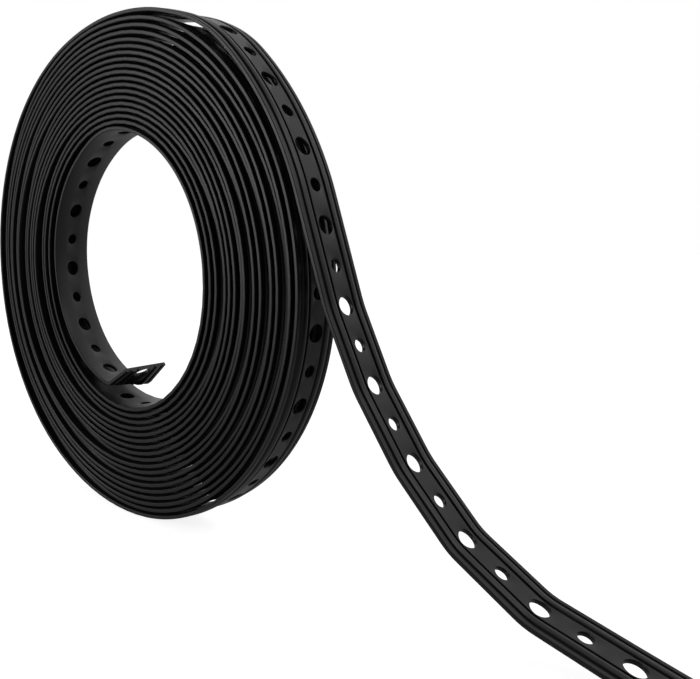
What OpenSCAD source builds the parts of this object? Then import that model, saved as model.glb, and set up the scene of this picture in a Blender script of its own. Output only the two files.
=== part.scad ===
// Coil of coated perforated strap with its loose outer end.
// The coil's axis lies along Y, the coil stands on Z = 0 and the loose end runs out to +X.

/* [Strap] */
// overall width of the strap
strap_width = 26; // [20:0.5:34]
// thickness of the flat web between the ribs
web_thickness = 2.2; // [1.8:0.1:3]
// height of the two ribs above the web
rib_rise = 0.8; // [0.4:0.1:1.2]
// width of each rib
rib_width = 1.8; // [1.2:0.1:2.4]
// width of the sloping flank outside each rib
flank_width = 3.4; // [2.4:0.1:4]
// width of the groove between each rib and the web
groove_width = 2.1; // [1.2:0.1:2.4]
// depth of the groove below the web
groove_drop = 0.5; // [0.2:0.1:0.8]
// thickness of the strap at its two edges
edge_thickness = 2.2; // [1.4:0.1:2.6]
// softening of the strap's corners
corner = 0.4; // [0.2:0.1:0.5]

/* [Holes] */
// distance from each hole to the next
hole_pitch = 18; // [15:0.5:24]
// diameter of every other hole
large_hole = 8.5; // [6:0.5:10]
// diameter of the holes in between
small_hole = 6; // [4:0.5:8]

/* [Coil] */
// diameter of the eye of the coil
eye_diameter = 140; // [120:5:160]
// number of turns in the coil
turns = 18; // [12:1:22]
// free gap between one turn's ribs and the next turn
turn_gap = 0.5; // [0.3:0.1:1.2]

/* [Ends] */
// where the outermost turn starts under the loose turn, in degrees up from +X
turn_start = 32; // [0:1:50]
// where the outermost turn leaves the coil, in degrees up from +X
take_off = 110; // [100:1:120]
// length of the bend that the loose end has at each large hole
bend_length = 8; // [5:1:12]
// length of the bent tab at the strap's inner end
tab_length = 24; // [14:1:30]
// place of the inner end on the eye, in degrees up from +X
tab_place = 252; // [240:1:270]
// how far the tab is bent in from the turn
tab_bend = 50; // [30:1:70]

/* [Hidden] */
$fn = 96;
half = strap_width / 2;
web_half = half - flank_width - rib_width - groove_width;
skin = web_thickness / 2;
rib_top = skin + rib_rise;
turn_step = web_thickness + rib_rise + turn_gap;
eye_radius = eye_diameter / 2;
first_radius = eye_radius + skin;
last_radius = first_radius + (turns - 1) * turn_step;
coil_radius = last_radius + rib_top;
filler_half = half - flank_width - rib_width / 2;
tab_root = 1;
seam = 91.7;

// The outermost turn, the loose turn and the strap's end, as [length, turn]: turns to the right
// are negative.
wound_turn = take_off - turn_start - 360;
wound = -wound_turn * PI / 180 * last_radius;
span = 2 * hole_pitch;
lead = [[wound, wound_turn], [24, 0], [110, -58], [span, -14], [span, -12.5], [span, -9]];
bends = [12.4, 9, 9.5, 15, 16, 0.5];
link = span - bend_length;
lead_turn = sum([for (p = lead) p[1]]);
bends_turn = sum(bends);
fall_turn = -3.5;
last_bend = -(turn_start - 90 + lead_turn + 360 + fall_turn + bends_turn);
after_fall = concat([for (b = bends, k = [0, 1]) k == 0 ? [bend_length, b] : [link, 0]],
  [[bend_length, last_bend], [link * 0.8, 0]]);
// The straight fall beside the coil is as long as it takes for the end to lie on the floor.
begin = [last_radius * cos(turn_start), last_radius * sin(turn_start), turn_start - 90];
lead_end = travel(lead, begin);
fall_arc = bend_length;
fall_start = step(lead_end, [fall_arc, fall_turn]);
after_drop = travel(after_fall, [0, 0, fall_start[2]]);
floor_line = skin - coil_radius;
fall_length = (fall_start[1] + after_drop[1] - floor_line) / -sin(fall_start[2]);
route = concat(lead, [[fall_arc, fall_turn], [fall_length, 0]], after_fall);
first_bend = sum([for (p = lead) p[0]]) + fall_arc + fall_length + bend_length / 2;
route_length = sum([for (p = route) p[0]]);
// stations along the route, closer together in its bends
facet = 5;
stations = concat([0], [
  for (i = [0 : len(route) - 1])
    let (n = max(1, ceil(abs(route[i][1]) / facet)), before = sum([for (j = [0 : 1 : i - 1]) route[j][0]]))
      for (k = [1 : n]) before + route[i][0] * k / n
]);
holes_back = floor((first_bend - large_hole) / hole_pitch);
holes_on = floor((route_length - first_bend - large_hole) / hole_pitch);

tail_end = travel(route, begin);
shift_x = -(tail_end[0] - coil_radius) / 2;

function sum(v, i = 0) = i >= len(v) ? 0 : v[i] + sum(v, i + 1);

// place and heading after one arc or straight
function step(p, piece) =
  let (h = p[2], t = piece[1])
  t == 0
    ? [p[0] + piece[0] * cos(h), p[1] + piece[0] * sin(h), h]
    : let (r = piece[0] * 180 / (PI * t))
      [p[0] + r * (sin(h + t) - sin(h)), p[1] - r * (cos(h + t) - cos(h)), h + t];

function travel(pieces, p, i = 0) =
  i >= len(pieces) ? p : travel(pieces, step(p, pieces[i]), i + 1);

// place and heading at a distance along the route
function along(s, p, i = 0) =
  i == len(route) - 1 || s <= route[i][0]
    ? step(p, [s, route[i][1] * s / route[i][0]])
    : along(s - route[i][0], step(p, route[i]), i + 1);

// One side of the strap's section, from the smooth face over the edge to the web's middle:
// X is out from the coil, measured from the middle of the web, and Y is across the strap
rib_in = web_half + groove_width;
rib_out = rib_in + rib_width;
foot = groove_width / 4;
side = [
  [-skin, half - corner],
  [corner - skin, half],
  [edge_thickness - skin, half],
  [rib_top, rib_out],
  [rib_top, rib_in],
  [skin - groove_drop, rib_in - foot],
  [skin - groove_drop, web_half + foot],
  [skin, web_half]
];
whole = concat(side, [for (i = [len(side) - 1 : -1 : 0]) [side[i][0], -side[i][1]]]);

module section() {
  polygon(whole);
}

// the section swept along the route: a ring of points at each station, closed at both ends
module run() {
  rings = [for (s = stations) along(s, begin)];
  n = len(whole);
  m = len(rings);
  points = [
    for (p = rings, q = whole) [p[0] - q[0] * sin(p[2]), p[1] + q[0] * cos(p[2]), q[1]]
  ];
  walls = [
    for (i = [0 : m - 2], j = [0 : n - 1])
      [i * n + j, i * n + (j + 1) % n, (i + 1) * n + (j + 1) % n, (i + 1) * n + j]
  ];
  near_end = [for (j = [n - 1 : -1 : 0]) j];
  far_end = [for (j = [0 : n - 1]) (m - 1) * n + j];
  polyhedron(points, concat(walls, [near_end], [far_end]));
}

// every turn of the coil in one profile: the turns' edges stand out at both ends,
// and between the ribs the coil is closed
edge_steps = [0, 1, 2, 3];
inner_lip = [[-skin, filler_half]];
outer_lip = [[rib_top, filler_half]];

function turn_edge(k) = [
  for (q = concat(inner_lip, [for (i = edge_steps) side[i]], outer_lip))
    [first_radius + k * turn_step + q[0], q[1]]
];

module coil() {
  ends = [for (k = [0 : turns - 2], q = turn_edge(k)) q];
  upper = concat(ends, [[last_radius, filler_half]]);
  lower = [for (i = [len(upper) - 1 : -1 : 0]) [upper[i][0], -upper[i][1]]];
  rotate([0, 0, seam])
    rotate_extrude()
      polygon(concat(upper, lower));
}

module straight(length) {
  rotate([90, 0, 90])
    linear_extrude(length)
      section();
}

// the strap's inner end, bent into the eye
module tab() {
  rotate([0, 0, tab_place])
    translate([first_radius, 0, 0])
      rotate([0, 0, 90 + tab_bend])
        translate([-tab_root, 0, 0])
          rotate([180, 0, 0])
            straight(tab_length + tab_root);
}

module drill(diameter, depth) {
  rotate([-90, 0, 0])
    translate([0, 0, -depth])
      cylinder(d = diameter, h = 2 * depth);
}

// through holes of the loose turn and the tail, large ones at the bends
module tail_holes() {
  for (j = [-holes_back : holes_on]) {
    p = along(first_bend + j * hole_pitch, begin);
    translate([p[0], p[1], 0])
      rotate([0, 0, p[2]])
        drill(j % 2 == 0 ? large_hole : small_hole, web_thickness);
  }
}

// holes of the innermost turn, from the bend of the tab on
module inner_holes() {
  angle = hole_pitch * 180 / (PI * first_radius);
  count = floor((360 - angle) / angle);
  for (j = [0 : count - 1])
    rotate([0, 0, tab_place - angle - j * angle])
      translate([first_radius, 0, 0])
        rotate([0, 0, -90])
          drill(j % 2 == 0 ? large_hole : small_hole, web_thickness);
}

module tab_hole() {
  rotate([0, 0, tab_place])
    translate([first_radius, 0, 0])
      rotate([0, 0, 90 + tab_bend])
        translate([tab_length / 2, 0, 0])
          drill(small_hole, web_thickness);
}

module strap() {
  color([0.1, 0.1, 0.11])
    translate([shift_x, 0, coil_radius])
      rotate([90, 0, 0])
        difference() {
          union() {
            coil();
            run();
            tab();
          }
          tail_holes();
          inner_holes();
          tab_hole();
        }
}

strap();
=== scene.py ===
import math
from bisect import bisect_right

import bmesh
import bpy
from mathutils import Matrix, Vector


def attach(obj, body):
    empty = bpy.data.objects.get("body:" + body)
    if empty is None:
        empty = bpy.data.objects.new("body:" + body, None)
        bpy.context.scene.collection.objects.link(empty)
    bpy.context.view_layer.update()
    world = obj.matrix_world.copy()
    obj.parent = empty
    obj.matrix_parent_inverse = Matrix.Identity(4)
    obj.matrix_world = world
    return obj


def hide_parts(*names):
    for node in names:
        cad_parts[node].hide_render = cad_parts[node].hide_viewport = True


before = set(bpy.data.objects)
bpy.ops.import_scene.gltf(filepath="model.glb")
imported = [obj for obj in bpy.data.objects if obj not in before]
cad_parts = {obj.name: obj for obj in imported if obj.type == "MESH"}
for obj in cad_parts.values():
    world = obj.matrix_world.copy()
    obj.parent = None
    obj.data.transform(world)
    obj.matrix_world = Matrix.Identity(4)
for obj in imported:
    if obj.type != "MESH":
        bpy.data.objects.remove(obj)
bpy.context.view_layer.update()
mm = 0.001


# camera
view = {
    "place": (231.7, -230.1, 155.97),  # millimetres
    "lens": 35.81,
    "sensor": 36,
    "near": 0.01,  # metres
    "far": 50,
    "down": 8.44,  # degrees
    "left": 38.47,
}


def setCamera():
    data = bpy.data.cameras.new("photoCamera")
    data.lens = view["lens"]
    data.sensor_width = view["sensor"]
    data.clip_start = view["near"]
    data.clip_end = view["far"]
    camera = bpy.data.objects.new("photoCamera", data)
    camera.location = Vector(view["place"]) * mm
    camera.rotation_euler = (math.radians(90 - view["down"]), 0, math.radians(view["left"]))
    bpy.context.collection.objects.link(camera)
    bpy.context.scene.camera = camera
    print("camera set")


# strap: its holes and its section in millimetres, as points across and out from the web's middle
strapSize = {
    "pitch": 18,  # from hole to hole
    "half": 13,  # half the strap's width
    "web": 4.9,  # half the width of the flat web
    "skin": 1.1,  # half its thickness
    "rib": ((5.15, 0.25), (5.9, 0.2), (6.4, 1.25), (6.9, 1.45), (8.1, 1.45),
            (9.2, 1.1), (9.8, 0.35), (10.6, 0.3)),  # with a groove on either side
    "edge": ((11.15, 0.8), (12.3, 0.95), (12.8, 0.85), (13.0, 0.55),
             (13.0, -0.65), (12.8, -0.95), (12.4, -1.1)),
    "largeHole": 4.25,  # radius
    "smallHole": 3.0,
    "rim": 0.4,
    "rimRound": ((0.3, -0.3), (0, -1)),  # steps over the rim, out and up, as shares of it
}

# winding: distances from the coil's axis in millimetres,
# angles clockwise from the bottom as the camera sees the coil
winding = {
    "axis": (-100.9, 132.5),  # x and z
    # front edges: the first turn from its start, then every turn at the left and right
    "start": ((17, 61.2), (28, 61.4), (50, 62), (70, 62.6), (90, 63.9), (120, 68), (150, 73.8)),
    "left": (71, 76.3, 78.5, 85.5, 88.6, 91.6, 94.7, 97.7, 100.8,
             104.3, 107.5, 110.8, 114.2, 117.6, 121, 124.4, 128),  # from the second turn on
    "right": (70.7, 75, 79.3, 82.4, 85.5, 88.6, 92.2, 95.4, 98.5,
              101.6, 104.7, 109, 112.2, 115.6, 119.4, 122.5, 126, 131),
    "ease": 0.1034,  # added at the left and right, so that the holes fall into place
    "top": (79.3, 3.065),  # first turn and step to the next
    "bottom": (71.3, 3.5),
    "slackAngle": 203,
    "slack": {15: 125.7, 16: 129.4, 17: 133.15},  # the last turns just past the top
    "outer": ((20, 131.6), (45, 133.3), (70, 133.2), (90, 132.4), (115, 132.7),
              (135, 133.1), (160, 133.1), (230, 133.1)),  # the turn that lifts off
    "liftAngle": 160,
    # turns that sit forward or back at the left and right
    "backLeft": {4: -1.4, 5: -1.25, 6: -0.9, 7: -1.3, 8: -0.8, 9: 1.5, 10: -2.2,
                 11: -1.4, 12: 1, 13: -1.2, 14: -0.3, 15: -0.5, 17: 2},
    "backRight": {3: 2.6, 7: 1.5, 9: 3, 12: 3, 15: 3, 16: 0.8},
    "backAngles": (40, 100, 155, 200, 270, 345),  # left twice, level twice, right, level
    # how far the first turns' edges lean in, and the share of it at each angle
    "lean": (4.5, 2.7, 1.8, 1.9, 0.9, 0.4),
    "leanStart": 0.5,
    "leanShare": ((45, 0.7), (105, 1), (150, 0.65), (190, 0.15), (250, 0), (355, 0)),
    "slackLean": ((200, 0), (207, 1.1), (214, 1.2), (226, 0.5)),  # the last turn under the loose one
}
tail = {
    "step": 0.5,  # between the points of the tail and of the tab
    # length and turn of each stretch of the loose turn, then the turns at the large holes
    "lead": ((7.5, -3.27), (96.63, -33.47), (36, -26.93), (36, -11.98), (36, -12.6), (8, -3.54)),
    "bends": (7.23, 9, 9.5, 15, 16, 0.5),
    "bendLength": 8,
    "end": 23,
    # distance from the lift-off, and how far the front edge leans in
    "lean": ((0, 0), (40, 0), (61, 0.1), (83, 0.3), (105, 0.7), (125, 0.6), (150, 0.3), (200, 0), (240, 0)),
}
innerTab = {"length": 18.3, "bend": 49, "bendLength": 7}


# value at a place between marks, with no kink at a mark
def eased(marks, where):
    places = [m[0] for m in marks]
    i = min(max(bisect_right(places, where) - 1, 0), len(marks) - 2)
    (a0, v0), (a1, v1) = marks[i], marks[i + 1]

    def slope(k):
        before, after = marks[max(k - 1, 0)], marks[min(k + 1, len(marks) - 1)]
        return (after[1] - before[1]) / (after[0] - before[0])

    w = a1 - a0
    t = (where - a0) / w
    return ((2 * t ** 3 - 3 * t * t + 1) * v0 + (t ** 3 - 2 * t * t + t) * w * slope(i)
            + (3 * t * t - 2 * t ** 3) * v1 + (t ** 3 - t * t) * w * slope(i + 1))


# points and headings along pieces of a given length and turn
def walk(point, heading, pieces):
    places = []
    for length, turn in pieces:
        count = max(1, round(length / tail["step"]))
        step = length / count
        for _ in range(count):
            middle = math.radians(heading + turn / count / 2)
            point = (point[0] + step * math.cos(middle), point[1] + step * math.sin(middle))
            heading += turn / count
            places.append((point, heading))
    return places


def headingOf(p, q):
    return math.degrees(math.atan2(q[1] - p[1], q[0] - p[0]))


# every turn of the coil as [x, z, set back, lean], a point for each degree
def windCoil():
    turns = len(winding["right"])
    begin = winding["start"][0][0]
    radii = list(winding["start"])
    backs = [(begin, 0)]
    leans = [(begin, winding["leanStart"] * winding["lean"][0])]
    for n in range(turns):
        a = 360 * n
        if n:
            radii.append((a + 90, winding["left"][n - 1] + winding["ease"]))
        radii.append((a + 180, winding["top"][0] + winding["top"][1] * n))
        if n in winding["slack"]:
            radii.append((a + winding["slackAngle"], winding["slack"][n]))
        radii.append((a + 270, winding["right"][n] + winding["ease"]))
        radii.append((a + 360, winding["bottom"][0] + winding["bottom"][1] * n))
        left, right = winding["backLeft"].get(n, 0), winding["backRight"].get(n, 0)
        backs += [(a + angle, v) for angle, v in zip(winding["backAngles"], (left, left, 0, 0, right, 0))]
        lean = winding["lean"][n] if n < len(winding["lean"]) else 0
        leans += [(a + angle, share * lean) for angle, share in winding["leanShare"]]
    leans = sorted(leans + [(360 * (turns - 1) + angle, lean) for angle, lean in winding["slackLean"]])
    whole = 360 * turns
    outer = [(whole + angle, r) for angle, r in winding["outer"]]
    level = [(outer[0][0], 0), (outer[-1][0], 0)]
    radii += outer
    backs += level
    leans += level
    wound = []
    for a in range(begin, whole + winding["liftAngle"] + 1):
        lean = eased(leans, a)
        r = eased(radii, a) + lean
        t = math.radians(270 - a)
        wound.append((r * math.cos(t), r * math.sin(t), eased(backs, a), lean))
    return wound


# the tab at the inner end, walked backwards from where the first turn starts
def layTab(wound):
    pieces = (innerTab["bendLength"], innerTab["bend"]), (innerTab["length"], 0)
    places = walk(wound[0][:2], headingOf(wound[1], wound[0]), pieces)
    lean, count = wound[0][3], len(places)
    return [(x, z, 0, lean * (1 - (k + 1) / count)) for k, ((x, z), _) in enumerate(places)][::-1]


# the loose turn and the tail, with a straight fall as long as it takes to reach the floor
def layTail(wound):
    # the heading at the lift-off, carried on from the last two steps
    heading = 1.5 * headingOf(wound[-2], wound[-1]) - 0.5 * headingOf(wound[-3], wound[-2])
    bend = tail["bendLength"]
    link = 2 * strapSize["pitch"] - bend
    turned = heading + sum(t for _, t in tail["lead"]) + sum(tail["bends"])
    after = [piece for t in tail["bends"] for piece in ((bend, t), (link, 0))]
    after += [(bend, -turned), (tail["end"], 0)]
    lead = walk(wound[-1][:2], heading, tail["lead"])
    leadEnd, down = lead[-1]
    lowest = walk((0, 0), down, after)[-1][0][1]
    height = leadEnd[1] + lowest - strapSize["skin"] + winding["axis"][1]
    fall = height / -math.sin(math.radians(down))
    leanEnd = tail["lean"][-1][0]
    points = []
    for k, ((x, z), h) in enumerate(lead + walk(leadEnd, down, [(fall, 0)] + after)):
        gone = k * tail["step"]
        lean = eased(tail["lean"], gone) if gone < leanEnd else 0
        t = math.radians(h)
        points.append((x + lean * math.sin(t), z - lean * math.cos(t), 0, lean))
    return points, len(lead), fall


# the strap's whole route as [distance, x, z, set back, lean],
# with the distances to the tail's first bend and to the lift-off
def layRoute():
    wound = windCoil()
    tab = layTab(wound)
    loose, leadCount, fall = layTail(wound)
    points = tab + wound + loose
    axisX, axisZ = winding["axis"]
    route, s = [], 0
    for k, (x, z, back, lean) in enumerate(points):
        if k:
            s += math.dist((x, z), points[k - 1][:2])
        route.append((s, x + axisX, z + axisZ, back, lean / strapSize["half"]))
    lift = len(tab) + len(wound) - 1
    fallEnd = lift + leadCount + round(fall / tail["step"])
    firstBend = route[fallEnd][0] + tail["bendLength"] / 2
    print("route laid:", round(s), "mm, fall", round(fall, 1))
    return route, firstBend, route[lift][0]


# how finely the strap is made, lengths in millimetres
strapMesh = {
    "across": 4,  # faces over the web at each end of a link
    "fineAlong": 8,  # faces along a link where the strap's face is in view
    "plainAlong": 2,  # and elsewhere
    "innerShown": 340,  # what is in view, from the inner end
    "outerShown": (-720, -390),  # and from the lift-off
    "looseShown": -60,
    "reach": 1.2,  # how far to either side a heading is read
    "same": 1e-5,  # places closer than this are one
    "weld": 1e-4,  # within a link
    "weldLinks": 0.02,  # from link to link
    "sharp": 24,  # degrees
}


def onlyEdges(geometry):
    return [g for g in geometry if isinstance(g, bmesh.types.BMEdge)]


def keepMesh(bm, name):
    mesh = bpy.data.meshes.new(name)
    bm.to_mesh(mesh)
    bm.free()
    return mesh


# one link of the strap, a hole and the strap around it: x along, y across, z outwards
def makeLink(radius, along, rims):
    size, same = strapSize, strapMesh["same"]
    half, web, skin = size["pitch"] / 2, size["web"], size["skin"]
    bm = bmesh.new()
    corners = [bm.verts.new((x * half, y * web, skin)) for x, y in ((-1, -1), (1, -1), (1, 1), (-1, 1))]
    sides = [bm.edges.new((corners[k], corners[(k + 1) % 4])) for k in range(4)]
    bmesh.ops.subdivide_edges(bm, edges=sides[0::2], cuts=along - 1)
    bmesh.ops.subdivide_edges(bm, edges=sides[1::2], cuts=strapMesh["across"] - 1)
    outline = bm.edges[:]
    low = bmesh.ops.duplicate(bm, geom=outline)["geom"]
    lowVerts = [g for g in low if isinstance(g, bmesh.types.BMVert)]
    bmesh.ops.translate(bm, verts=lowVerts, vec=(0, 0, -2 * skin))
    lowOutline = onlyEdges(low)

    # the hole, with its rims rounded over where they are in view
    rim = size["rim"] if rims else 0
    ring = bmesh.ops.create_circle(bm, segments=len(outline), radius=radius + rim)["verts"]
    bmesh.ops.translate(bm, verts=ring, vec=(0, 0, skin))
    mouth = list({e for v in ring for e in v.link_edges})
    bmesh.ops.bridge_loops(bm, edges=outline + mouth)
    heights = [(radius + rim * k, skin + rim * d) for k, d in size["rimRound"]] if rims else []
    heights += [(r, -z) for r, z in reversed(heights)] + [(radius + rim, -skin)]
    for r, z in heights:
        mouth = onlyEdges(bmesh.ops.extrude_edge_only(bm, edges=mouth)["geom"])
        for v in {v for e in mouth for v in e.verts}:
            flat = Vector((v.co.x, v.co.y)).normalized() * r
            v.co = (flat.x, flat.y, z)
    bmesh.ops.bridge_loops(bm, edges=lowOutline + mouth)

    # grooves, rib and edge, drawn out from the web's two long sides
    for hand in (-1, 1):
        edges = [e for e in bm.edges if all(abs(v.co.y - hand * web) < same and abs(v.co.z - skin) < same
                                            for v in e.verts)]
        for y, z in size["rib"] + size["edge"] + ((web, -skin),):
            edges = onlyEdges(bmesh.ops.extrude_edge_only(bm, edges=edges)["geom"])
            for v in {v for e in edges for v in e.verts}:
                v.co.y, v.co.z = hand * y, z
    bmesh.ops.remove_doubles(bm, verts=bm.verts[:], dist=strapMesh["weld"])
    return keepMesh(bm, "link")


# the end of a link from x on, where the strap is cut off
def cutLink(link, x):
    bm = bmesh.new()
    bm.from_mesh(link)
    bmesh.ops.bisect_plane(bm, geom=bm.verts[:] + bm.edges[:] + bm.faces[:], dist=strapMesh["same"],
                           plane_co=(x, 0, 0), plane_no=(1, 0, 0), clear_inner=True)
    return keepMesh(bm, "cutLink")


# all the links, bent along the route and joined
def makeStrap(route, firstBend, lifted):
    pitch, reach = strapSize["pitch"], strapMesh["reach"]
    distances = [r[0] for r in route]
    total = distances[-1]

    def place(s):
        i = min(max(bisect_right(distances, s) - 1, 0), len(route) - 2)
        a, b = route[i], route[i + 1]
        t = (s - a[0]) / (b[0] - a[0])
        return [a[k] + (b[k] - a[k]) * t for k in (1, 2, 3, 4)]

    def frameAt(s):
        before, after = place(s - reach), place(s + reach)
        h = math.atan2(after[1] - before[1], after[0] - before[0])
        return place(s), math.sin(h), math.cos(h)

    def inView(s):
        start, end = (lifted + d for d in strapMesh["outerShown"])
        return s < strapMesh["innerShown"] or start < s < end or s > lifted + strapMesh["looseShown"]

    radii = {True: strapSize["largeHole"], False: strapSize["smallHole"]}
    fine = {large: makeLink(r, strapMesh["fineAlong"], True) for large, r in radii.items()}
    plain = {large: makeLink(r, strapMesh["plainAlong"], False) for large, r in radii.items()}
    first = -math.ceil((firstBend - pitch / 2) / pitch)
    last = math.floor((total - firstBend - pitch / 2) / pitch)
    bm = bmesh.new()
    for j in range(first, last + 1):
        s0 = firstBend + j * pitch
        count = len(bm.verts)
        link = (fine if inView(s0) else plain)[j % 2 == 0]
        bm.from_mesh(cutLink(link, -s0) if j == first else link)
        bm.verts.ensure_lookup_table()
        known = {}
        for v in bm.verts[count:]:
            x = round(v.co.x, 4)
            if x not in known:
                known[x] = frameAt(s0 + x)
            (px, pz, back, lean), sn, cs = known[x]
            out = v.co.z + lean * v.co.y
            v.co = ((px - out * sn) * mm, (v.co.y + back) * mm, (pz + out * cs) * mm)
    bmesh.ops.remove_doubles(bm, verts=bm.verts[:], dist=strapMesh["weldLinks"] * mm)
    ends = [e for e in bm.edges if e.is_boundary]
    bmesh.ops.holes_fill(bm, edges=ends, sides=0)
    bmesh.ops.recalc_face_normals(bm, faces=bm.faces[:])
    for f in bm.faces:
        f.smooth = True
    openEdges = sum(1 for e in bm.edges if not e.is_manifold)
    mesh = keepMesh(bm, "strapBand")
    mesh.set_sharp_from_angle(angle=math.radians(strapMesh["sharp"]))
    piece = bpy.data.objects.new("strapBand", mesh)
    bpy.context.collection.objects.link(piece)
    mesh.calc_loop_triangles()
    triangles = len(mesh.loop_triangles)
    print("strap made:", triangles, "triangles, links", last - first + 1, "open edges", openEdges)
    return piece


# coat
coat = {
    "colour": (0.004, 0.004, 0.0043, 1),
    "specular": 0.2,
    "roughness": (0.32, 0.46),
    "smear": 60,  # patches of more and less gloss to the metre
    "smearDetail": 3,
    "grain": 0.35,  # size of the grain in millimetres
    "grainDetail": 2,
    "grainDepth": 0.1,
    "grainStrength": 0.12,
}


def noise(nodes, links, scale, detail):
    where = nodes.new("ShaderNodeTexCoord")
    texture = nodes.new("ShaderNodeTexNoise")
    texture.inputs["Scale"].default_value = scale
    texture.inputs["Detail"].default_value = detail
    links.new(where.outputs["Object"], texture.inputs["Vector"])
    return texture.outputs["Fac"]


def mapRange(nodes, links, value, source, result):
    node = nodes.new("ShaderNodeMapRange")
    node.inputs["From Min"].default_value, node.inputs["From Max"].default_value = source
    node.inputs["To Min"].default_value, node.inputs["To Max"].default_value = result
    links.new(value, node.inputs["Value"])
    return node.outputs["Result"]


def blackCoat():
    material = bpy.data.materials.new("blackCoat")
    material.use_nodes = True
    nodes, links = material.node_tree.nodes, material.node_tree.links
    shader = nodes["Principled BSDF"]
    shader.inputs["Base Color"].default_value = coat["colour"]
    shader.inputs["Specular IOR Level"].default_value = coat["specular"]
    bump = nodes.new("ShaderNodeBump")
    bump.inputs["Strength"].default_value = coat["grainStrength"]
    bump.inputs["Distance"].default_value = coat["grainDepth"] * mm
    grain = noise(nodes, links, 1 / (coat["grain"] * mm), coat["grainDetail"])
    links.new(grain, bump.inputs["Height"])
    links.new(bump.outputs["Normal"], shader.inputs["Normal"])
    smear = noise(nodes, links, coat["smear"], coat["smearDetail"])
    links.new(mapRange(nodes, links, smear, (0, 1), coat["roughness"]), shader.inputs["Roughness"])
    return material


# studio: places and sizes in metres
studio = {
    "surround": 0.4,
    "backdrop": (-0.4, 1, 0),  # the way to it
    "room": 0.06,  # how much of the backdrop's white the room in front of it has
    "backdropFade": (-0.2, 0.6),  # where a gloss goes over from the room to the backdrop
    "backdropWhite": 1,
    "floorFade": (-0.3, 0.1),
    "floorWhite": 0.15,
    "floorSize": 6,
    "floorColour": (0.35, 0.35, 0.35, 1),
    "floorRoughness": 0.9,
    "floorGlow": (0.1, 0.85),
    "lamps": (  # name, place, size, watts
        ("sideLamp", (-1.2, -1.72, 0.62), 1.2, 33),
        ("topLamp", (1.1, 0.75, 1.4), 0.8, 10),
    ),
    "aim": (0, 0, 0.12),
}


def mathNode(nodes, links, operation, *values):
    node = nodes.new("ShaderNodeMath")
    node.operation = operation
    for socket, value in zip(node.inputs, values):
        if isinstance(value, bpy.types.NodeSocket):
            links.new(value, socket)
        else:
            socket.default_value = value
    return node.outputs["Value"]


# 1 for rays that show the background: straight to the camera, through the piece
# or in a gloss, where the room in front of the backdrop is dimmer
def seenDirectly(nodes, links, depth, fade, white):
    path = nodes.new("ShaderNodeLightPath").outputs
    room = mapRange(nodes, links, depth, fade, (studio["room"], white))
    gloss = mathNode(nodes, links, "MULTIPLY", path["Is Glossy Ray"], room)
    seen = mathNode(nodes, links, "MAXIMUM", path["Is Camera Ray"], gloss)
    return mathNode(nodes, links, "MAXIMUM", seen, path["Is Transmission Ray"])


def setBackdrop():
    world = bpy.data.worlds.new("studio")
    bpy.context.scene.world = world
    world.use_nodes = True
    nodes, links = world.node_tree.nodes, world.node_tree.links
    back = nodes["Background"]
    where = nodes.new("ShaderNodeTexCoord")
    behind = nodes.new("ShaderNodeVectorMath")
    behind.operation = "DOT_PRODUCT"
    behind.inputs[1].default_value = studio["backdrop"]
    links.new(where.outputs["Generated"], behind.inputs[0])
    depth = behind.outputs["Value"]
    seen = seenDirectly(nodes, links, depth, studio["backdropFade"], studio["backdropWhite"])
    diffuse = nodes.new("ShaderNodeLightPath").outputs["Is Diffuse Ray"]
    level = mathNode(nodes, links, "MULTIPLY_ADD", diffuse, studio["surround"], seen)
    links.new(level, back.inputs["Strength"])
    back.inputs["Color"].default_value = (1, 1, 1, 1)


def setLamps():
    for name, spot, size, power in studio["lamps"]:
        data = bpy.data.lights.new(name, "AREA")
        data.size = size
        data.energy = power
        lamp = bpy.data.objects.new(name, data)
        lamp.location = spot
        lamp.rotation_euler = (Vector(studio["aim"]) - Vector(spot)).to_track_quat("-Z", "Y").to_euler()
        bpy.context.collection.objects.link(lamp)


def paleFloor():
    material = bpy.data.materials.new("paleFloor")
    material.use_nodes = True
    nodes, links = material.node_tree.nodes, material.node_tree.links
    shader = nodes["Principled BSDF"]
    shader.inputs["Base Color"].default_value = studio["floorColour"]
    shader.inputs["Roughness"].default_value = studio["floorRoughness"]
    shader.inputs["Emission Color"].default_value = (1, 1, 1, 1)
    where = nodes.new("ShaderNodeTexCoord")
    split = nodes.new("ShaderNodeSeparateXYZ")
    links.new(where.outputs["Object"], split.inputs["Vector"])
    seen = seenDirectly(nodes, links, split.outputs["Y"], studio["floorFade"], studio["floorWhite"])
    glow = mapRange(nodes, links, seen, (0, 1), studio["floorGlow"])
    links.new(glow, shader.inputs["Emission Strength"])
    return material


def setStudio():
    bpy.context.scene.view_settings.view_transform = "Standard"
    setBackdrop()
    setLamps()
    bm = bmesh.new()
    bmesh.ops.create_grid(bm, x_segments=1, y_segments=1, size=studio["floorSize"])
    floor = bpy.data.objects.new("studioFloor", keepMesh(bm, "studioFloor"))
    bpy.context.collection.objects.link(floor)
    floor.data.materials.append(paleFloor())
    print("studio set")


setCamera()
route, firstBend, lifted = layRoute()
strap = makeStrap(route, firstBend, lifted)
strap.data.materials.append(blackCoat())
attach(strap, "root")
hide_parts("strap")
setStudio()
